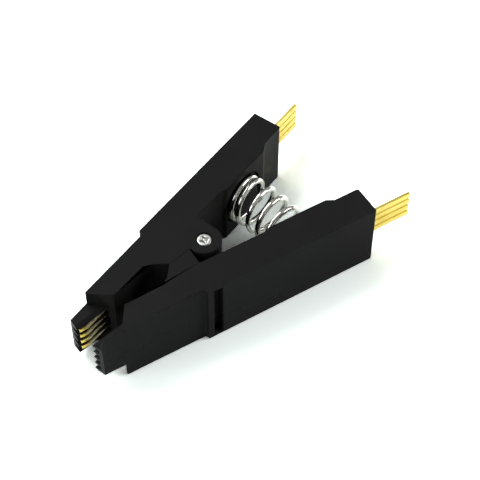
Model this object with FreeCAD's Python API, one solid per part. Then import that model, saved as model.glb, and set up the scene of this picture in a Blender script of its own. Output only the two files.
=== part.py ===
import FreeCAD, Part
import math
import os

# Spring clip that grips a small-outline chip: two crossed handles on a pivot screw.
# Millimetres and degrees. The pivot axis is Z, the clip lies on z = 0, and its jaws
# point to -Y. Each half is drawn straight, with u along the handle towards the rear
# and v from the outer face inwards, and is then turned about the pivot.

os.makedirs("parts", exist_ok=True)

# Stance at rest
splay_angle = 11.31
pivot_to_outer_face = 7.88
body_height = 10.67
seam_gap = 0.04

# Handle behind the pivot
rear_length = 22.48
rear_wall = 4.52
grip_wall = 5.18
grip_end = 17.49
grip_slope_length = 1.16
rear_outer_radius = 0.15
rear_inner_radius = 0.35
pocket_wall = 4.78
pocket_end = 7.9
pocket_slope_length = 0.8
recess_corner_radius = 0.3

# Arm in front of the pivot
step_position = 4.053
step_depth = 0.673
step_slope_length = 0.08
step_fillet_radius = 0.55
arm_wall = 3.317
front_outer = 16.406
front_inner = 14.182
arm_corner_radius = 0.2
hollow_start = 8.5
hollow_start_wall = 3.48
hollow_start_radius = 1.5
hollow_knee = 7.3
hollow_knee_wall = 4.33
hollow_knee_radius = 1.0
seam_front = 6.17

# Groove across the outer face, behind the step
groove_front = 3.1
groove_width = 1.3
groove_depth = 1.2
groove_lip = 0.45

# Pivot ears, one on each level
ear_radius = 2.4
ear_flank_start = 2.7
ear_gap = 0.05
ear_root_overlap = 0.3
ear_recess_clearance = 0.15

# Comb at the nose
lead_pitch = 1.27
contacts_per_side = 4
comb_end_tooth = 0.62
slot_width = 0.72
nose_outer = 19.41
nose_inner = 20.03
nose_tip_wall = 1.6
nose_root_wall = 2.6
nose_root = 14.9
cheek_wall = 0.6
cheek_margin = 0.5
cheek_radius = 2.0
tooth_tip_width = 0.12
tooth_taper_depth = 0.6

# Contacts, each one stamped strip, wide at the rear pin and narrow at the jaw
contact_width = 0.6
contact_thickness = 0.25
pin_width = 0.76
contact_clearance = 0.04
contact_jaw_depth = 2.65
contact_pin_depth = 2.2
contact_jog_rear = 2.0
contact_jog_front = 6.0
contact_bend = 18.47
contact_tip = 19.55
contact_flare = 0.42
pin_reach = 7.35
pin_chamfer = 0.1

# Pivot screw and nut
screw_shank_radius = 0.6
screw_head_radius = 1.03
screw_head_height = 0.8
screw_head_sink = 0.1
screw_head_chamfer = 0.12
seat_gap = 0.03
screw_hole_clearance = 0.05
counterbore_clearance = 0.1
cross_slot_width = 0.26
cross_slot_length = 1.4
cross_slot_depth = 0.35
cross_slot_angle = -15
nut_across_flats = 2.5
nut_height = 1.0
nut_sink = 0.25
nut_chamfer = 0.12
nut_pocket_clearance = 0.05
thread_clearance = 0.01

# Compression spring between the handles, seated in a shallow round recess in each
spring_position = 12.5
spring_mean_radius = 3.2
spring_wire_radius = 0.4
spring_wire_sides = 12
spring_turns = 5.98
spring_start_angle = 26
spring_closed_turns = 1.06
spring_closed_pitch = 0.87
spring_seat_gap = 0.03
spring_points_per_turn = 12
seat_depth = 0.4
seat_clearance = 0.4
boss_clearance = 0.3
boss_height = 1.4
boss_chamfer = 0.2

# How far a cut runs past the surface that it opens
overshoot = 1.0

middle = body_height / 2
tangent = math.tan(math.radians(splay_angle))
half_comb = lead_pitch * (contacts_per_side - 1) / 2 + slot_width / 2 + comb_end_tooth
tooth_flare = (lead_pitch - slot_width - tooth_tip_width) / 2


def at(u, v, z=0.0):
    """Point of a half in its straight frame."""
    return FreeCAD.Vector(v - pivot_to_outer_face, u, z)


def outline(corners):
    """Closed wire through (u, v) or (u, v, radius) corners, with tangent arcs."""
    count = len(corners)
    starts, ends, middles = [], [], []
    for index, corner in enumerate(corners):
        here = at(corner[0], corner[1])
        radius = corner[2] if len(corner) > 2 else 0.0
        if not radius:
            starts.append(here)
            ends.append(here)
            middles.append(None)
            continue
        back = (at(*corners[index - 1][:2]) - here).normalize()
        ahead = (at(*corners[(index + 1) % count][:2]) - here).normalize()
        half_angle = back.getAngle(ahead) / 2
        reach = radius / math.tan(half_angle)
        bisector = (back + ahead).normalize()
        starts.append(here + back * reach)
        ends.append(here + ahead * reach)
        middles.append(here + bisector * (radius / math.sin(half_angle) - radius))
    edges = []
    for index in range(count):
        if middles[index] is not None:
            edges.append(Part.Arc(starts[index], middles[index], ends[index]).toShape())
        edges.append(Part.makeLine(ends[index], starts[(index + 1) % count]))
    return Part.Wire(edges)


def prism(corners, low, high):
    """Upright solid of an outline between two heights."""
    face = Part.Face(outline(corners))
    face.translate(FreeCAD.Vector(0, 0, low))
    return face.extrude(FreeCAD.Vector(0, 0, high - low))


def seam_depth(u):
    """v of the face where the halves meet, at a place u along the half."""
    return pivot_to_outer_face + u * tangent - seam_gap / 2


def contact_levels():
    """Heights of the contacts' centre lines."""
    first = middle - lead_pitch * (contacts_per_side - 1) / 2
    return [first + lead_pitch * index for index in range(contacts_per_side)]


def strip_edges(path, thickness):
    """Outline of a strip of even thickness along an open path of (u, v) points."""
    normals = []
    for (u0, v0), (u1, v1) in zip(path, path[1:]):
        length = math.hypot(u1 - u0, v1 - v0)
        normals.append(((v0 - v1) / length, (u1 - u0) / length))
    offsets = []
    for index in range(len(path)):
        before = normals[max(index - 1, 0)]
        after = normals[min(index, len(normals) - 1)]
        share = 1 + before[0] * after[0] + before[1] * after[1]
        offsets.append(((before[0] + after[0]) / share, (before[1] + after[1]) / share))
    half = thickness / 2
    one_side = [(u + n[0] * half, v + n[1] * half) for (u, v), n in zip(path, offsets)]
    other_side = [(u - n[0] * half, v - n[1] * half) for (u, v), n in zip(path, offsets)]
    return one_side + other_side[::-1]


def contact_parts(level, rear, clearance):
    """Rear pin and jaw strip of a contact, grown by a clearance."""
    pin_path = [(rear, contact_pin_depth), (-contact_jog_rear, contact_pin_depth)]
    strip_path = [
        (-contact_jog_rear + contact_width, contact_pin_depth),
        pin_path[-1],
        (-contact_jog_front, contact_jaw_depth),
        (-contact_bend, contact_jaw_depth),
        (-contact_tip, contact_jaw_depth - contact_flare),
    ]
    parts = []
    for path, width in ((pin_path, pin_width), (strip_path, contact_width)):
        sides = strip_edges(path, contact_thickness + 2 * clearance)
        half = width / 2 + clearance
        parts.append(prism(sides, level - half, level + half))
    return parts


def handle_core():
    """Bar with its arm, open at the pivot on both levels."""
    recess = ear_radius + ear_recess_clearance
    seam_front_u = -seam_front * math.cos(math.radians(splay_angle))
    corners = [
        (rear_length, 0, rear_outer_radius),
        (-step_position, 0),
        (-step_position - step_slope_length, step_depth, step_fillet_radius),
        (-front_outer, step_depth, arm_corner_radius),
        (-front_inner, step_depth + arm_wall, arm_corner_radius),
        (-hollow_start, step_depth + hollow_start_wall, hollow_start_radius),
        (-hollow_knee, step_depth + hollow_knee_wall, hollow_knee_radius),
        (seam_front_u, seam_depth(seam_front_u)),
        (-recess, seam_depth(-recess)),
        (-recess, pocket_wall, recess_corner_radius),
        (pocket_end, pocket_wall),
        (pocket_end + pocket_slope_length, grip_wall),
        (grip_end, grip_wall),
        (grip_end + grip_slope_length, rear_wall),
        (rear_length, rear_wall, rear_inner_radius),
    ]
    return prism(corners, 0, body_height)


def ear():
    """Upper pivot ear with the web that joins it to the bar."""
    low = middle + ear_gap
    recess = ear_radius + ear_recess_clearance
    root = pocket_wall - ear_root_overlap
    rise = pivot_to_outer_face - pocket_wall
    reach = math.hypot(ear_flank_start, rise)
    turn = math.atan2(-rise, ear_flank_start) + math.acos(ear_radius / reach)
    tangent_u = ear_radius * math.cos(turn)
    tangent_v = pivot_to_outer_face + ear_radius * math.sin(turn)
    seam_end = -ear_radius * math.cos(math.radians(splay_angle))
    web = prism([
        (-recess, root),
        (-recess, seam_depth(-recess)),
        (seam_end, seam_depth(seam_end)),
        (0, pivot_to_outer_face),
        (tangent_u, tangent_v),
        (ear_flank_start, pocket_wall),
        (ear_flank_start, root),
    ], low, body_height)
    disc = Part.makeCylinder(ear_radius, body_height - low, FreeCAD.Vector(0, 0, low))
    return disc.fuse(web)


def nose():
    """Comb block in front of the arm, with the taller cheek plate outside it."""
    plan = [
        (-front_inner, step_depth),
        (-nose_outer, step_depth),
        (-nose_inner, step_depth + nose_tip_wall),
        (-nose_root, step_depth + nose_root_wall),
        (-front_inner, step_depth + nose_root_wall),
    ]
    block = prism(plan, middle - half_comb, middle + half_comb)
    cheek_top = middle + half_comb
    front = -nose_inner
    knee = FreeCAD.Vector(0, -nose_outer + cheek_radius, cheek_margin)
    bend_centre = knee + FreeCAD.Vector(0, 0, cheek_radius)
    slant = cheek_radius * math.sqrt(0.5)
    arc_middle = bend_centre + FreeCAD.Vector(0, -slant, -slant)
    arc_end = bend_centre + FreeCAD.Vector(0, -cheek_radius, 0)
    points = [
        arc_end,
        FreeCAD.Vector(0, front, arc_end.z),
        FreeCAD.Vector(0, front, cheek_top),
        FreeCAD.Vector(0, -front_inner, cheek_top),
        FreeCAD.Vector(0, -front_inner, cheek_margin),
        knee,
    ]
    edges = [Part.makeLine(one, two) for one, two in zip(points, points[1:])]
    edges.append(Part.Arc(knee, arc_middle, arc_end).toShape())
    side = Part.Face(Part.Wire(edges))
    side.translate(at(0, step_depth))
    cheek = side.extrude(FreeCAD.Vector(cheek_wall, 0, 0))
    return block.fuse(cheek.common(prism(plan, 0, body_height)))


def spring_boss():
    """Round spigot inside the coil, on the inner face of a handle."""
    radius = spring_mean_radius - spring_wire_radius - boss_clearance
    base = at(spring_position, grip_wall - seat_depth, middle)
    boss = Part.makeCylinder(radius, boss_height, base, FreeCAD.Vector(1, 0, 0))
    rim = [edge for edge in boss.Edges if edge.BoundBox.XMin > base.x + boss_height / 2]
    return boss.makeChamfer(boss_chamfer, rim)


def comb_space(low, high):
    """Space in front of the arm's slanted end and inside the cheek plate."""
    slant = (front_outer - front_inner) / arm_wall
    floor = step_depth + cheek_wall
    beyond = step_depth + arm_wall + overshoot
    return prism([
        (-front_outer + slant * (floor - step_depth), floor),
        (-nose_inner - overshoot, floor),
        (-nose_inner - overshoot, beyond),
        (-front_outer + slant * (beyond - step_depth), beyond),
    ], low, high)


def comb_wedge(narrow_low, narrow_high, wide_low, wide_high):
    """Wedge along the comb's inner face that tapers the teeth beside it to their tips."""
    lean = (nose_root_wall - nose_tip_wall) / (nose_inner - nose_root)
    start = -nose_inner - overshoot
    face_depth = step_depth + nose_tip_wall - lean * overshoot
    share = (tooth_taper_depth + overshoot) / tooth_taper_depth
    top_low = narrow_low + (wide_low - narrow_low) * share
    top_high = narrow_high + (wide_high - narrow_high) * share
    points = [
        at(start, face_depth - tooth_taper_depth, narrow_low),
        at(start, face_depth - tooth_taper_depth, narrow_high),
        at(start, face_depth + overshoot, top_high),
        at(start, face_depth + overshoot, top_low),
    ]
    length = nose_inner - front_inner + overshoot
    section = Part.Face(Part.makePolygon(points + points[:1]))
    return section.extrude(FreeCAD.Vector(lean * length, length, 0))


def comb_cuts():
    """Slots of the comb, flared towards the inner face, and the slopes of its end teeth."""
    cuts = []
    half_slot = slot_width / 2
    for level in contact_levels():
        low = level - half_slot
        high = level + half_slot
        flare = comb_wedge(low, high, low - tooth_flare, high + tooth_flare)
        cuts.append(comb_space(low, high).fuse(flare.common(comb_space(0, body_height))))
    end_slope = comb_end_tooth - tooth_flare - tooth_tip_width
    for side in (-1, 1):
        end = middle + side * half_comb
        outside = end + side * overshoot
        slope = comb_wedge(end, outside, end - side * end_slope, outside)
        cuts.append(slope.common(comb_space(0, body_height)))
    return cuts


def spring_seat():
    """Ring that the coil's end turn sits in, round the spigot."""
    radius = spring_mean_radius + spring_wire_radius + seat_clearance
    spigot_radius = spring_mean_radius - spring_wire_radius - boss_clearance
    base = at(spring_position, grip_wall - seat_depth, middle)
    inwards = FreeCAD.Vector(1, 0, 0)
    space = Part.makeCylinder(radius, seat_depth + overshoot, base, inwards)
    return space.cut(Part.makeCylinder(spigot_radius, seat_depth + overshoot, base, inwards))


def moulded_half(pocket):
    """One handle in its straight frame, with the given pocket in its ear."""
    half = handle_core().fuse([ear(), nose(), spring_boss()]).removeSplitter()
    hole = Part.makeCylinder(screw_shank_radius + screw_hole_clearance, body_height)
    groove = Part.makeBox(
        groove_depth, groove_width, body_height - 2 * groove_lip,
        at(-groove_front, 0, groove_lip))
    channels = []
    for level in contact_levels():
        channels += contact_parts(level, rear_length + overshoot, contact_clearance)
    return half.cut(channels + comb_cuts() + [groove, hole, pocket, spring_seat()])


def head_pocket():
    """Counterbore in the left ear for the screw head."""
    radius = screw_head_radius + counterbore_clearance
    depth = screw_head_sink + screw_head_height + seat_gap
    return Part.makeCylinder(radius, depth, FreeCAD.Vector(0, 0, body_height - depth))


def hexagon(across_flats, low, high):
    """Six-sided prism about the pivot axis."""
    radius = across_flats / math.sqrt(3)
    corners = [
        FreeCAD.Vector(radius * math.cos(turn), radius * math.sin(turn), low)
        for turn in [math.radians(60 * step) for step in range(7)]]
    face = Part.Face(Part.makePolygon(corners))
    return face.extrude(FreeCAD.Vector(0, 0, high - low))


def nut_pocket():
    """Six-sided recess in the right ear, drawn at the top before the half is turned over."""
    depth = nut_sink + nut_height
    return hexagon(nut_across_flats + 2 * nut_pocket_clearance, body_height - depth, body_height)


def contact(level):
    """Gold-plated contact, the corners of its rear end cut off."""
    rear = rear_length + pin_reach
    pin, strip = contact_parts(level, rear, 0.0)
    corners = [
        edge for edge in pin.Edges
        if edge.BoundBox.YMin > rear - pin_chamfer and edge.BoundBox.XLength > pin_chamfer]
    return pin.makeChamfer(pin_chamfer, corners).fuse(strip).removeSplitter()


def pivot_screw():
    """Cross-recessed cheese-head screw down the pivot axis."""
    head_top = body_height - screw_head_sink
    head_low = head_top - screw_head_height
    shank_low = nut_sink - nut_chamfer
    head = Part.makeCylinder(screw_head_radius, screw_head_height, FreeCAD.Vector(0, 0, head_low))
    rim = [edge for edge in head.Edges if edge.BoundBox.ZMin > head_low + screw_head_height / 2]
    head = head.makeChamfer(screw_head_chamfer, rim)
    shank = Part.makeCylinder(screw_shank_radius, head_low - shank_low, FreeCAD.Vector(0, 0, shank_low))
    bar = Part.makeBox(
        cross_slot_length, cross_slot_width, cross_slot_depth,
        FreeCAD.Vector(-cross_slot_length / 2, -cross_slot_width / 2, head_top - cross_slot_depth))
    bar.rotate(FreeCAD.Vector(), FreeCAD.Vector(0, 0, 1), cross_slot_angle)
    other_bar = bar.copy()
    other_bar.rotate(FreeCAD.Vector(), FreeCAD.Vector(0, 0, 1), 90)
    return head.fuse(shank).cut([bar, other_bar]).removeSplitter()


def pivot_nut():
    """Hexagon nut with its corners broken, drawn at the top like its recess."""
    high = body_height - nut_sink
    low = high - nut_height
    rim_radius = nut_across_flats / math.sqrt(3) - nut_chamfer
    cone = Part.makeCone(rim_radius + nut_height, rim_radius, nut_height, FreeCAD.Vector(0, 0, low))
    bore = Part.makeCylinder(screw_shank_radius + thread_clearance, body_height)
    return hexagon(nut_across_flats, low, high).common(cone).cut(bore)


def coil_spring():
    """Compression coil on an arc, square to both handles, with closed end turns."""
    seat = turned(Part.Vertex(at(spring_position, grip_wall - seat_depth))).Point
    axis_radius = -seat.x / math.sin(math.radians(splay_angle))
    axis_centre = seat.y - axis_radius * math.cos(math.radians(splay_angle))
    run = 2 * axis_radius * math.radians(splay_angle)
    margin = spring_wire_radius + spring_seat_gap
    open_turns = spring_turns - 2 * spring_closed_turns
    closed_run = spring_closed_turns * spring_closed_pitch
    open_run = run - 2 * margin - 2 * closed_run
    points = []
    for step in range(round(spring_turns * spring_points_per_turn) + 1):
        turn = step / spring_points_per_turn
        along = margin + turn * spring_closed_pitch
        if turn > spring_closed_turns:
            share = min((turn - spring_closed_turns) / open_turns, 1)
            along = margin + closed_run + share * open_run
        if turn > spring_turns - spring_closed_turns:
            along = run - margin - (spring_turns - turn) * spring_closed_pitch
        lean = along / axis_radius - math.radians(splay_angle)
        phase = math.radians(spring_start_angle) + 2 * math.pi * turn
        distance = axis_radius + spring_mean_radius * math.cos(phase)
        points.append(FreeCAD.Vector(
            distance * math.sin(lean),
            axis_centre + distance * math.cos(lean),
            middle + spring_mean_radius * math.sin(phase)))
    curve = Part.BSplineCurve()
    curve.interpolate(points)
    step_angle = 2 * math.pi / spring_wire_sides
    corner_radius = spring_wire_radius * math.sqrt(step_angle / math.sin(step_angle))
    forward = curve.tangent(curve.FirstParameter)[0]
    outward = forward.cross(FreeCAD.Vector(1, 0, 0)).normalize() * corner_radius
    upward = forward.cross(outward)
    ring = [
        points[0] + outward * math.cos(step_angle * side) + upward * math.sin(step_angle * side)
        for side in range(spring_wire_sides)]
    section = Part.makePolygon(ring + ring[:1])
    return Part.Wire(curve.toShape()).makePipeShell([section], True, True)


def turned(shape):
    """A straight-frame piece swung out to the left half's place."""
    shape = shape.copy()
    shape.rotate(FreeCAD.Vector(), FreeCAD.Vector(0, 0, 1), splay_angle)
    return shape


def turned_over(shape):
    """The same piece on the right half, which lies the other way up."""
    shape = turned(shape)
    shape.rotate(FreeCAD.Vector(0, 0, middle), FreeCAD.Vector(0, 1, 0), 180)
    return shape


pieces = {
    "left_handle": turned(moulded_half(head_pocket())),
    "right_handle": turned_over(moulded_half(nut_pocket())),
    "pivot_screw": pivot_screw(),
    "pivot_nut": turned_over(pivot_nut()),
    "coil_spring": coil_spring(),
}
for index, level in enumerate(contact_levels(), start=1):
    pieces[f"left_contact_{index}"] = turned(contact(level))
    pieces[f"right_contact_{contacts_per_side + 1 - index}"] = turned_over(contact(level))

# The origin is under the middle of the whole clip, on the surface that it lies on.
clip_box = FreeCAD.BoundBox()
for shape in pieces.values():
    clip_box.add(shape.BoundBox)
to_origin = FreeCAD.Vector(0, -(clip_box.YMin + clip_box.YMax) / 2, 0)
for name, shape in pieces.items():
    shape.translate(to_origin)
    shape.exportStep(f"parts/{name}.step")
    print(name, shape.isValid(), len(shape.Solids), round(shape.Volume, 3))
print("pivot axis at y =", round(to_origin.y, 4))
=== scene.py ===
import math
import bmesh
import bpy
from mathutils import Matrix, Vector


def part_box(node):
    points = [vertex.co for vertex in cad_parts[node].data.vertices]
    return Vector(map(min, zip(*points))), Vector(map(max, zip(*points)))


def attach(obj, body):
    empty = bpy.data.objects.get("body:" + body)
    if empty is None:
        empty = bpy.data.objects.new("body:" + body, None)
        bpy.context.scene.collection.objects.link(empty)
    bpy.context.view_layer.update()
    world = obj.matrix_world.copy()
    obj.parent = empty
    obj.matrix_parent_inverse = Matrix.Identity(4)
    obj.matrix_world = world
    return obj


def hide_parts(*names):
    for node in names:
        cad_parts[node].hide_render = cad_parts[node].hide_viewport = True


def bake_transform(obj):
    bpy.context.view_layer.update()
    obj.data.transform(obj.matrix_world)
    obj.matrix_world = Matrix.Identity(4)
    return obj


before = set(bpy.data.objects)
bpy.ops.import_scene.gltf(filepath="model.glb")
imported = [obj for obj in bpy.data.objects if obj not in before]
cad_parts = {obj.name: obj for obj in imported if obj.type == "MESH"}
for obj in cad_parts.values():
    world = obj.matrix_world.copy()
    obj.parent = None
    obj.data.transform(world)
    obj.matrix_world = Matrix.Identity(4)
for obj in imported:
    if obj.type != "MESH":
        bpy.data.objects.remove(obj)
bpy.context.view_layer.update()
mm = 0.001
screwLow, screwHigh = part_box("pivot_screw")
pivotY = (screwLow.y + screwHigh.y) / 2
print("frame loaded with", len(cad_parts), "CAD nodes")

# The photograph's camera: high on the near right, with a long lens
cameraSetup = {
    "lens": 108.33,         # mm
    "sensor": 36.0,         # mm
    "azimuth": 47.2,        # degrees, as the next two
    "elevation": 52.146,
    "roll": 0.2345,
    "place": (90.017, -76.862, 162.659),    # mm from the foot of the pivot
    "clip": (0.01, 10),     # m
}


def placeCamera(setup):
    azimuth, elevation, roll = (
        math.radians(setup[key]) for key in ("azimuth", "elevation", "roll"))
    back = Vector((
        math.sin(azimuth) * math.cos(elevation),
        -math.cos(azimuth) * math.cos(elevation),
        math.sin(elevation)))
    turn = back.to_track_quat("Z", "Y").to_matrix() @ Matrix.Rotation(roll, 3, "Z")
    camera = bpy.data.objects.new("photoCamera", bpy.data.cameras.new("photoCamera"))
    camera.data.lens = setup["lens"]
    camera.data.sensor_width = setup["sensor"]
    camera.data.clip_start, camera.data.clip_end = setup["clip"]
    place = Vector(setup["place"]) * mm + Vector((0, pivotY, 0))
    camera.matrix_world = Matrix.Translation(place) @ turn.to_4x4()
    bpy.context.scene.collection.objects.link(camera)
    bpy.context.scene.camera = camera


placeCamera(cameraSetup)
print("camera placed")


def linear(hexColour):
    # sRGB hex to the linear values that the shaders want
    channels = [int(hexColour[i:i + 2], 16) / 255 for i in (1, 3, 5)]
    return tuple(
        c / 12.92 if c <= 0.04045 else ((c + 0.055) / 1.055) ** 2.4 for c in channels) + (1.0,)


def addNode(tree, kind, inputs=None, stops=(), **settings):
    # Inputs are values or the sockets that feed them, and stops a ramp's (position, colour).
    # A Mix node's sockets go by number: 0 its factor, 2 and 3 its values, 6 and 7 its colours
    node = tree.nodes.new(kind)
    for name, value in settings.items():
        setattr(node, name, value)
    for name, value in (inputs or {}).items():
        if isinstance(value, bpy.types.NodeSocket):
            tree.links.new(value, node.inputs[name])
        else:
            node.inputs[name].default_value = value
    for count, (position, colour) in enumerate(stops):
        elements = node.color_ramp.elements
        element = elements[count] if count < len(elements) else elements.new(position)
        element.position = position
        element.color = colour
    return node


def newMaterial(name):
    material = bpy.data.materials.new(name)
    material.use_nodes = True
    material.node_tree.nodes.clear()
    return material, material.node_tree


noiseLow, noiseHigh = 0.3, 0.7      # most of a noise's values lie between these

# Black glass-filled nylon, injection moulded in a lightly eroded tool: a satin skin
# with soft broad reflections, slightly cloudy where the melt flowed
plastic = {
    "dark": "#212121",
    "light": "#242424",
    "cloud": 6.0,           # mm, size of the flow clouds
    "grain": 0.22,          # mm, the tool's texture, drawn twice as coarse as it is
    "bump": 0.012,          # mm
    "bumpStrength": 0.6,
    "roughest": 0.34,
    "smoothest": 0.26,
    "ior": 1.5,
    "specular": 0.015,      # low, because the eroded skin scatters most of what falls on it
}


def mouldedNylon(values):
    material, tree = newMaterial("blackMouldedNylon")
    place = addNode(tree, "ShaderNodeTexCoord").outputs["Object"]
    clouds = addNode(tree, "ShaderNodeTexNoise", {
        "Vector": place, "Scale": 1 / (values["cloud"] * mm), "Detail": 3.0, "Roughness": 0.5})
    grain = addNode(tree, "ShaderNodeTexNoise", {
        "Vector": place, "Scale": 1 / (values["grain"] * mm), "Detail": 2.0, "Roughness": 0.55})
    colour = addNode(tree, "ShaderNodeValToRGB", {"Fac": clouds.outputs["Fac"]}, stops=[
        (noiseLow, linear(values["dark"])), (noiseHigh, linear(values["light"]))])
    rough = addNode(tree, "ShaderNodeMapRange", {
        "Value": clouds.outputs["Fac"], "From Min": noiseLow, "From Max": noiseHigh,
        "To Min": values["roughest"], "To Max": values["smoothest"]})
    bump = addNode(tree, "ShaderNodeBump", {
        "Height": grain.outputs["Fac"], "Distance": values["bump"] * mm,
        "Strength": values["bumpStrength"]})
    skin = addNode(tree, "ShaderNodeBsdfPrincipled", {
        "Base Color": colour.outputs["Color"], "Roughness": rough.outputs["Result"],
        "Normal": bump.outputs["Normal"], "IOR": values["ior"],
        "Specular IOR Level": values["specular"]})
    addNode(tree, "ShaderNodeOutputMaterial", {"Surface": skin.outputs["BSDF"]})
    return material


# Gold-plated brass strip, stamped and then plated: warm yellow, smooth, with faint
# lines along the strip from rolling. Behind the bent tips, where the jaws shade it, the
# strip is painted paler and less metallic: painted light that brightens it
goldPlate = {
    "deep": "#d6be58",
    "pale": "#e6d278",
    "tone": 3.0,            # mm, size of the deep and pale patches
    "line": 0.08,           # mm between rolling lines
    "streak": (2, 12),      # mm, over which a line changes along X and along Y
    "bump": 0.004,          # mm
    "bumpStrength": 0.5,
    "roughest": 0.52,
    "smoothest": 0.36,
    # Painted light: the paler colour and lower metallic of the band behind the tips, lifting the
    # strips out of the jaws' shade
    "paintedLight": "#faeec2",
    "paintedLightMetallic": 0.15,
    "paintedLightSpan": (-24.5, -10),     # mm along Y, within which the painted brightening lies
    "paintedLightStops": (0.09, 0.13, 0.6, 0.95),     # of that span: starts, is full, wanes, ends
}


def platedGold(values):
    material, tree = newMaterial("goldPlatedBrass")
    place = addNode(tree, "ShaderNodeTexCoord").outputs["Object"]
    sizes = (*values["streak"], values["line"])
    stretched = addNode(tree, "ShaderNodeMapping", {
        "Vector": place, "Scale": [1 / (size * mm) for size in sizes]})
    lines = addNode(tree, "ShaderNodeTexNoise", {
        "Vector": stretched.outputs["Vector"], "Scale": 1.0, "Detail": 3.0})
    tone = addNode(tree, "ShaderNodeTexNoise", {
        "Vector": place, "Scale": 1 / (values["tone"] * mm), "Detail": 2.0})
    colour = addNode(tree, "ShaderNodeValToRGB", {"Fac": tone.outputs["Fac"]}, stops=[
        (noiseLow, linear(values["deep"])), (noiseHigh, linear(values["pale"]))])
    rough = addNode(tree, "ShaderNodeMapRange", {
        "Value": lines.outputs["Fac"], "From Min": noiseLow, "From Max": noiseHigh,
        "To Min": values["smoothest"], "To Max": values["roughest"]})
    bump = addNode(tree, "ShaderNodeBump", {
        "Height": lines.outputs["Fac"], "Distance": values["bump"] * mm,
        "Strength": values["bumpStrength"]})
    # Painted light: a band along Y behind the bent tips is made paler and less metallic, to
    # brighten the strips in the jaws' shade
    along = addNode(tree, "ShaderNodeSeparateXYZ", {"Vector": place})
    front, back = (y * mm for y in values["paintedLightSpan"])
    span = addNode(tree, "ShaderNodeMapRange", {
        "Value": along.outputs["Y"], "From Min": front, "From Max": back})
    white, black = (1, 1, 1, 1), (0, 0, 0, 1)
    paintedLightMask = addNode(tree, "ShaderNodeValToRGB", {"Fac": span.outputs["Result"]}, stops=list(zip(
        values["paintedLightStops"], (white, black, black, white))))
    metallic = addNode(tree, "ShaderNodeMapRange", {
        "Value": paintedLightMask.outputs["Color"], "To Min": values["paintedLightMetallic"]})
    platingWithPaintedLight = addNode(tree, "ShaderNodeMix", {
        0: paintedLightMask.outputs["Color"], 6: linear(values["paintedLight"]), 7: colour.outputs["Color"]},
        data_type="RGBA")
    skin = addNode(tree, "ShaderNodeBsdfPrincipled", {
        "Base Color": platingWithPaintedLight.outputs[2], "Metallic": metallic.outputs["Result"],
        "Roughness": rough.outputs["Result"], "Normal": bump.outputs["Normal"]})
    addNode(tree, "ShaderNodeOutputMaterial", {"Surface": skin.outputs["BSDF"]})
    return material


# Bright metals: nickel-plated spring wire, drawn smooth, and zinc-plated steel turned
# on a lathe, a duller and darker grey
springWire = {
    "name": "nickelPlatedSpringWire",
    "dark": "#c9c8c2",
    "light": "#d6d5cf",
    "mark": 1.2,            # mm, size of the patches in its tone and gloss
    "bump": 0.0001,         # mm
    "roughest": 0.1,
    "smoothest": 0.06,
}
zincSteel = {
    "name": "zincPlatedTurnedSteel",
    "dark": "#a9aba7",
    "light": "#d2d3ce",
    "mark": 0.16,
    "bump": 0.006,
    "roughest": 0.42,
    "smoothest": 0.26,
}
metalTones = (0.35, 0.65)   # of the noise, where the dark and the light tone are full


def brightMetal(values):
    material, tree = newMaterial(values["name"])
    place = addNode(tree, "ShaderNodeTexCoord").outputs["Object"]
    marks = addNode(tree, "ShaderNodeTexNoise", {
        "Vector": place, "Scale": 1 / (values["mark"] * mm), "Detail": 3.0, "Roughness": 0.6})
    colour = addNode(tree, "ShaderNodeValToRGB", {"Fac": marks.outputs["Fac"]}, stops=[
        (metalTones[0], linear(values["dark"])), (metalTones[1], linear(values["light"]))])
    rough = addNode(tree, "ShaderNodeMapRange", {
        "Value": marks.outputs["Fac"], "From Min": noiseLow, "From Max": noiseHigh,
        "To Min": values["smoothest"], "To Max": values["roughest"]})
    bump = addNode(tree, "ShaderNodeBump", {
        "Height": marks.outputs["Fac"], "Distance": values["bump"] * mm, "Strength": 0.5})
    skin = addNode(tree, "ShaderNodeBsdfPrincipled", {
        "Base Color": colour.outputs["Color"], "Metallic": 1.0,
        "Roughness": rough.outputs["Result"], "Normal": bump.outputs["Normal"]})
    addNode(tree, "ShaderNodeOutputMaterial", {"Surface": skin.outputs["BSDF"]})
    return material


nylon = mouldedNylon(plastic)
gold = platedGold(goldPlate)
wireSteel = brightMetal(springWire)
screwSteel = brightMetal(zincSteel)
print("materials made")


def newPiece(name, shape, material, body=None):
    mesh = bpy.data.meshes.new(name)
    shape.to_mesh(mesh)
    shape.free()
    if "custom_normal" in mesh.attributes:
        mesh.attributes.remove(mesh.attributes["custom_normal"])
    mesh.materials.clear()
    mesh.materials.append(material)
    piece = bpy.data.objects.new(name, mesh)
    bpy.context.scene.collection.objects.link(piece)
    if body:
        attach(piece, body)
    return piece


# How the triangles of a CAD node's copy are joined into its flat faces again
merging = {"sameSpot": 0.0005, "sameFace": 0.3}     # mm and degrees


def mergedCopy(nodeName):
    shape = bmesh.new()
    shape.from_mesh(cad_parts[nodeName].data)
    bmesh.ops.remove_doubles(shape, verts=shape.verts, dist=merging["sameSpot"] * mm)
    bmesh.ops.dissolve_limit(
        shape, angle_limit=math.radians(merging["sameFace"]), use_dissolve_boundaries=False,
        verts=shape.verts, edges=shape.edges, delimit=set())
    for face in shape.faces:
        face.smooth = True
    return shape


def roomBeside(edge):
    # Half the shortest edge that this one's rounding would run along
    beside = [
        other.calc_length() for face in edge.link_faces for vert in edge.verts
        for other in vert.link_edges if other is not edge and face in other.link_faces]
    return min(beside) / 2


def roundEdges(piece, width, segments):
    # Bevels the edges by their weights and keeps the flat faces flat in the shading
    bevel = piece.modifiers.new("edgeRadius", "BEVEL")
    bevel.limit_method = "WEIGHT"
    bevel.width = width * mm
    bevel.segments = segments
    bevel.profile = 0.5
    bevel.material = -1
    bevel.use_clamp_overlap = False
    weighted = piece.modifiers.new("flatShading", "WEIGHTED_NORMAL")
    weighted.keep_sharp = True
    weighted.weight = 100


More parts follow.
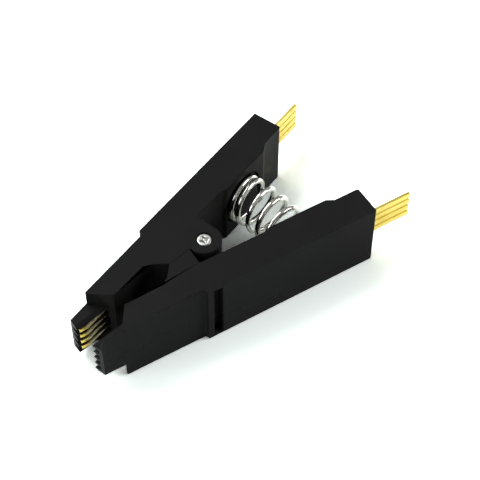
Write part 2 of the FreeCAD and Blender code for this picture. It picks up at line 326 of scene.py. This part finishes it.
# The two moulded handles, each a copy of its solid with its moulding radii
handles = {
    "sharpAngle": 25.0,     # degrees between faces from which an edge is rounded
    "radius": 0.14,         # mm, on the bar and the arm
    "combRadius": 0.03,     # mm, on the comb's teeth
    "combStart": 13.9,      # mm in front of the pivot, where the comb's teeth begin
    "seamRadius": 0.02,     # mm, on the edges where the halves all but meet
    "seamReach": 0.1,       # mm, how near to the middle plane those edges lie
    "segments": 3,
}


def makeHandle(side):
    shape = mergedCopy(f"{side}_handle")
    weights = shape.edges.layers.float.new("bevel_weight_edge")
    sharp = math.radians(handles["sharpAngle"])
    for edge in shape.edges:
        angle = edge.calc_face_angle_signed(0)
        edge.smooth = angle > -sharp    # only the inner corners stay sharp
        if angle > sharp:
            radius = handles["radius"]
            if max(abs(v.co.x) for v in edge.verts) < handles["seamReach"] * mm:
                radius = handles["seamRadius"]
            if max(v.co.y for v in edge.verts) < pivotY - handles["combStart"] * mm:
                radius = handles["combRadius"]
            edge[weights] = min(radius * mm, roomBeside(edge)) / (handles["radius"] * mm)
    piece = newPiece(f"{side}MouldedHandle", shape, nylon, f"{side}_half")
    roundEdges(piece, handles["radius"], handles["segments"])
    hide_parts(f"{side}_handle")


for side in ("left", "right"):
    makeHandle(side)
print("handles rounded")


# The contact strips, with the small radii that stamping and plating leave. Outside the
# handle each rear pin has a shoulder, beyond which it is a little stouter
contacts = {
    "count": 4,             # in each handle
    "sharpAngle": 30.0,     # degrees between faces from which an edge is rounded
    "radius": 0.04,         # mm
    "segments": 2,
    "splay": 11.31,         # degrees, of each handle
    "axisToFace": 7.88,     # mm, from the pivot to a handle's outer face
    "pinDepth": 2.2,        # mm, from that face to the middle of a pin
    "rearEnd": 22.48,       # mm behind the pivot, where the handle ends
    "shoulder": (0.03, 0.13),   # mm beyond the handle's end
    "stouter": 0.09,        # mm, added on each broad face
    "wider": 0.06,          # mm, added on each narrow face
    "cutSlack": 0.001,      # mm, how near to a cut an old corner counts as on it
    "pickSlack": 0.01,      # mm, how far short of the shoulder's end a corner is picked
}


def stoutenPin(shape, side):
    # Cuts the pin across behind the handle and moves its faces outwards from there on
    turn = math.radians(contacts["splay"])
    sign = -1 if side == "left" else 1
    along = Vector((sign * math.sin(turn), math.cos(turn), 0))
    across = Vector((-sign * math.cos(turn), math.sin(turn), 0))
    pivot = Vector((0, pivotY, 0))
    start, full = ((contacts["rearEnd"] + step) * mm for step in contacts["shoulder"])
    for distance in (start, full):
        bmesh.ops.bisect_plane(
            shape, geom=shape.verts[:] + shape.edges[:] + shape.faces[:],
            dist=contacts["cutSlack"] * mm, plane_co=pivot + along * distance, plane_no=along)
    reach = full - contacts["pickSlack"] * mm
    stout = [v for v in shape.verts if (v.co - pivot).dot(along) > reach]
    middle = (min(v.co.z for v in stout) + max(v.co.z for v in stout)) / 2
    depth = (contacts["pinDepth"] - contacts["axisToFace"]) * mm
    for vert in stout:
        outwards = math.copysign(contacts["stouter"] * mm, (vert.co - pivot).dot(across) - depth)
        upwards = math.copysign(contacts["wider"] * mm, vert.co.z - middle)
        vert.co += across * outwards + Vector((0, 0, upwards))


def makeContact(side, number):
    shape = mergedCopy(f"{side}_contact_{number}")
    stoutenPin(shape, side)
    weights = shape.edges.layers.float.new("bevel_weight_edge")
    for edge in shape.edges:
        if edge.calc_face_angle_signed(0) > math.radians(contacts["sharpAngle"]):
            edge[weights] = 1.0
        else:
            edge.smooth = False
    piece = newPiece(f"{side}ContactStrip{number}", shape, gold, f"{side}_half")
    roundEdges(piece, contacts["radius"], contacts["segments"])
    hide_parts(f"{side}_contact_{number}")


for side in ("left", "right"):
    for number in range(1, contacts["count"] + 1):
        makeContact(side, number)
print("contacts rounded")


# The cross-recessed screw and its nut, with their turned and broken edges, in mm. The
# cross opens out towards the top, as a driver's tapered wings need it to
pivotScrew = {
    "node": "pivot_screw",
    "sharpAngle": 30.0,     # degrees between faces from which an edge is rounded
    "radius": 0.07,
    "segments": 3,
    "crossReach": 0.8,      # from the axis, within which the top's edges are the cross's
    "crossFlare": 0.12,
    "topSlack": 0.001,      # how far below the top an edge still counts as on it
}
pivotNut = {"node": "pivot_nut", "sharpAngle": 30.0, "radius": 0.04, "segments": 3}


def flareCross(shape, values):
    top = max(v.co.z for v in shape.verts)
    rim = [
        edge for edge in shape.edges
        if all(top - v.co.z < values["topSlack"] * mm
               and math.hypot(v.co.x, v.co.y - pivotY) < values["crossReach"] * mm
               for v in edge.verts)]
    bmesh.ops.bevel(
        shape, geom=rim, offset=values["crossFlare"] * mm, offset_type="OFFSET", affect="EDGES",
        segments=1, profile=0.5, material=-1, clamp_overlap=True)


def makeFastener(name, values):
    shape = mergedCopy(values["node"])
    if "crossFlare" in values:
        flareCross(shape, values)
    weights = shape.edges.layers.float.new("bevel_weight_edge")
    for edge in shape.edges:
        if edge.calc_face_angle(0) > math.radians(values["sharpAngle"]):
            edge[weights] = min(values["radius"] * mm, roomBeside(edge)) / (values["radius"] * mm)
    piece = newPiece(name, shape, screwSteel, "right_half")
    roundEdges(piece, values["radius"], values["segments"])
    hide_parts(values["node"])


makeFastener("pivotScrew", pivotScrew)
makeFastener("pivotNut", pivotNut)
print("screw and nut turned")


# The coil between the handles: closed end turns, open turns between, all on an arc
spring = {
    "wireRadius": 0.4,      # mm
    "meanRadius": 3.2,      # mm
    "turns": 5.98,
    "closedTurns": 1.06,    # at each end
    "easeTurns": 0.25,      # of middle pitch, between closed and open turns
    "startAngle": 26.0,     # degrees
    "closedPitch": 0.87,    # mm
    "seatGap": 0.03,        # mm
    "arcRadius": 28.0,      # mm, of the arc that the coil's axis follows
    "arcCentre": -15.807,   # mm behind the pivot, of that arc's centre
    "halfArc": 11.31,       # degrees
    "height": 5.335,        # mm, of the axis above the floor
    "wireSides": 20,
    "stepsPerTurn": 72,
}


def makeSpring(values):
    half = math.radians(values["halfArc"])
    arcRadius = values["arcRadius"] * mm
    arcCentre = pivotY + values["arcCentre"] * mm

    def ontoArc(lean, distance, rise):
        # An angle and a distance from the arc's centre, and a rise above the coil's axis
        return Vector((
            distance * math.sin(lean),
            arcCentre + distance * math.cos(lean),
            values["height"] * mm + rise))

    margin = values["wireRadius"] + values["seatGap"]
    closedTurns, closedPitch = values["closedTurns"], values["closedPitch"]
    openTurns = values["turns"] - 2 * closedTurns
    openRun = 2 * values["arcRadius"] * half - 2 * margin - 2 * closedTurns * closedPitch
    openPitch = openRun / openTurns
    ease = (values["easeTurns"], (closedPitch + openPitch) / 2)
    closed = (closedTurns - values["easeTurns"] / 2, closedPitch)
    opened = (openTurns - values["easeTurns"], openPitch)

    shape = bmesh.new()
    ring = bmesh.ops.create_circle(
        shape, segments=values["wireSides"], radius=values["wireRadius"] * mm,
        matrix=Matrix.Translation((margin * mm, values["meanRadius"] * mm, 0)))["verts"]
    bmesh.ops.rotate(
        shape, verts=ring, cent=(0, 0, 0),
        matrix=Matrix.Rotation(math.radians(values["startAngle"]), 3, "X"))
    last = list(shape.edges)
    ends = [last]
    for turns, pitch in (closed, ease, opened, ease, closed):
        steps = round(turns * values["stepsPerTurn"])
        made = bmesh.ops.spin(
            shape, geom=last, cent=(0, 0, 0), axis=(1, 0, 0),
            dvec=(pitch * turns / steps * mm, 0, 0),
            angle=2 * math.pi * turns, steps=steps, use_merge=False)
        last = [item for item in made["geom_last"] if isinstance(item, bmesh.types.BMEdge)]
    ends.append(last)
    for end in ends:
        bmesh.ops.edgeloop_fill(shape, edges=end)
    for vert in shape.verts:
        vert.co = ontoArc(vert.co.x / arcRadius - half, arcRadius + vert.co.y, vert.co.z)
    bmesh.ops.recalc_face_normals(shape, faces=shape.faces)
    for face in shape.faces:
        face.smooth = len(face.verts) == 4      # all but the wire's cut ends

    piece = newPiece("coilSpring", shape, wireSteel)
    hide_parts("coil_spring")
    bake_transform(piece)


makeSpring(spring)
print("spring wound")


# White sweep under the clip. The camera and reflections see it brighter than the light
# that it gives back, with the shadow kept, and fading to plain white further out
floorLook = {
    "size": 3.0,            # m
    "paper": "#e8eeeb",
    "extra": "#c8cfcd",     # added to the paper, as often as lifts says, where it is seen
    "lifts": 2,
    "drop": 0.002,          # mm below the clip's underside
    "fade": (60, 150),      # mm from the clip's middle
}


def makeFloor(values):
    shape = bmesh.new()
    bmesh.ops.create_grid(shape, x_segments=1, y_segments=1, size=values["size"] / 2)
    bmesh.ops.translate(shape, verts=shape.verts, vec=(0, 0, -values["drop"] * mm))
    material, tree = newMaterial("whitePaperSweep")
    paper = addNode(tree, "ShaderNodeBsdfDiffuse", {"Color": linear(values["paper"])})
    extra = addNode(tree, "ShaderNodeBsdfDiffuse", {"Color": linear(values["extra"])})
    lifted = paper.outputs["BSDF"]
    for lift in range(values["lifts"]):
        lifted = addNode(tree, "ShaderNodeAddShader", {
            0: lifted, 1: extra.outputs["BSDF"]}).outputs["Shader"]
    place = addNode(tree, "ShaderNodeTexCoord").outputs["Object"]
    distance = addNode(tree, "ShaderNodeVectorMath", {0: place}, operation="LENGTH")
    near, far = (reach * mm for reach in values["fade"])
    fade = addNode(tree, "ShaderNodeMapRange", {
        "Value": distance.outputs["Value"], "From Min": near, "From Max": far})
    white = addNode(tree, "ShaderNodeEmission", {"Strength": 1.0})
    bright = addNode(tree, "ShaderNodeMixShader", {
        0: fade.outputs["Result"], 1: lifted, 2: white.outputs["Emission"]})
    path = addNode(tree, "ShaderNodeLightPath")
    seen = addNode(tree, "ShaderNodeMath", {
        0: path.outputs["Is Camera Ray"], 1: path.outputs["Is Glossy Ray"]}, operation="MAXIMUM")
    mix = addNode(tree, "ShaderNodeMixShader", {
        0: seen.outputs["Value"], 1: paper.outputs["BSDF"], 2: bright.outputs["Shader"]})
    addNode(tree, "ShaderNodeOutputMaterial", {"Surface": mix.outputs["Shader"]})
    newPiece("studioFloor", shape, material)


makeFloor(floorLook)

# The room round the clip: its strength as light, to the camera and in reflections
roomLook = {"light": 0.0, "seen": 1.0, "reflected": 0.5}


def makeRoom(values):
    world = bpy.data.worlds.new("studioRoom")
    bpy.context.scene.world = world
    world.use_nodes = True
    tree = world.node_tree
    tree.nodes.clear()
    path = addNode(tree, "ShaderNodeLightPath")
    dim = addNode(tree, "ShaderNodeMix", {
        0: path.outputs["Is Glossy Ray"], 2: values["light"], 3: values["reflected"]})
    strength = addNode(tree, "ShaderNodeMix", {
        0: path.outputs["Is Camera Ray"], 2: dim.outputs[0], 3: values["seen"]})
    glow = addNode(tree, "ShaderNodeBackground", {"Strength": strength.outputs[0]})
    addNode(tree, "ShaderNodeOutputWorld", {"Surface": glow.outputs["Background"]})


makeRoom(roomLook)

# Softboxes: a large one high on the left, one in front and one behind on the right, with
# their places and sizes in mm and their power in watts
softboxes = {
    "leftSoftbox": {"place": (-345, -50, 375), "size": 420, "power": 2.5},
    "frontSoftbox": {"place": (-60, -380, 240), "size": 300, "power": 1.0},
    "rearSoftbox": {"place": (260, 330, 200), "size": 260, "power": 1.15},
}
softboxAim = (0, 0, 5)      # mm, the middle of the clip


def hangSoftbox(name, values):
    lamp = bpy.data.objects.new(name, bpy.data.lights.new(name, "AREA"))
    lamp.data.size = values["size"] * mm
    lamp.data.energy = values["power"]
    lamp.location = Vector(values["place"]) * mm
    towards = Vector(softboxAim) * mm - lamp.location
    lamp.rotation_euler = towards.to_track_quat("-Z", "Y").to_euler()
    bpy.context.scene.collection.objects.link(lamp)


for name, values in softboxes.items():
    hangSoftbox(name, values)
bpy.context.scene.view_settings.view_transform = "Standard"
print("studio lit")
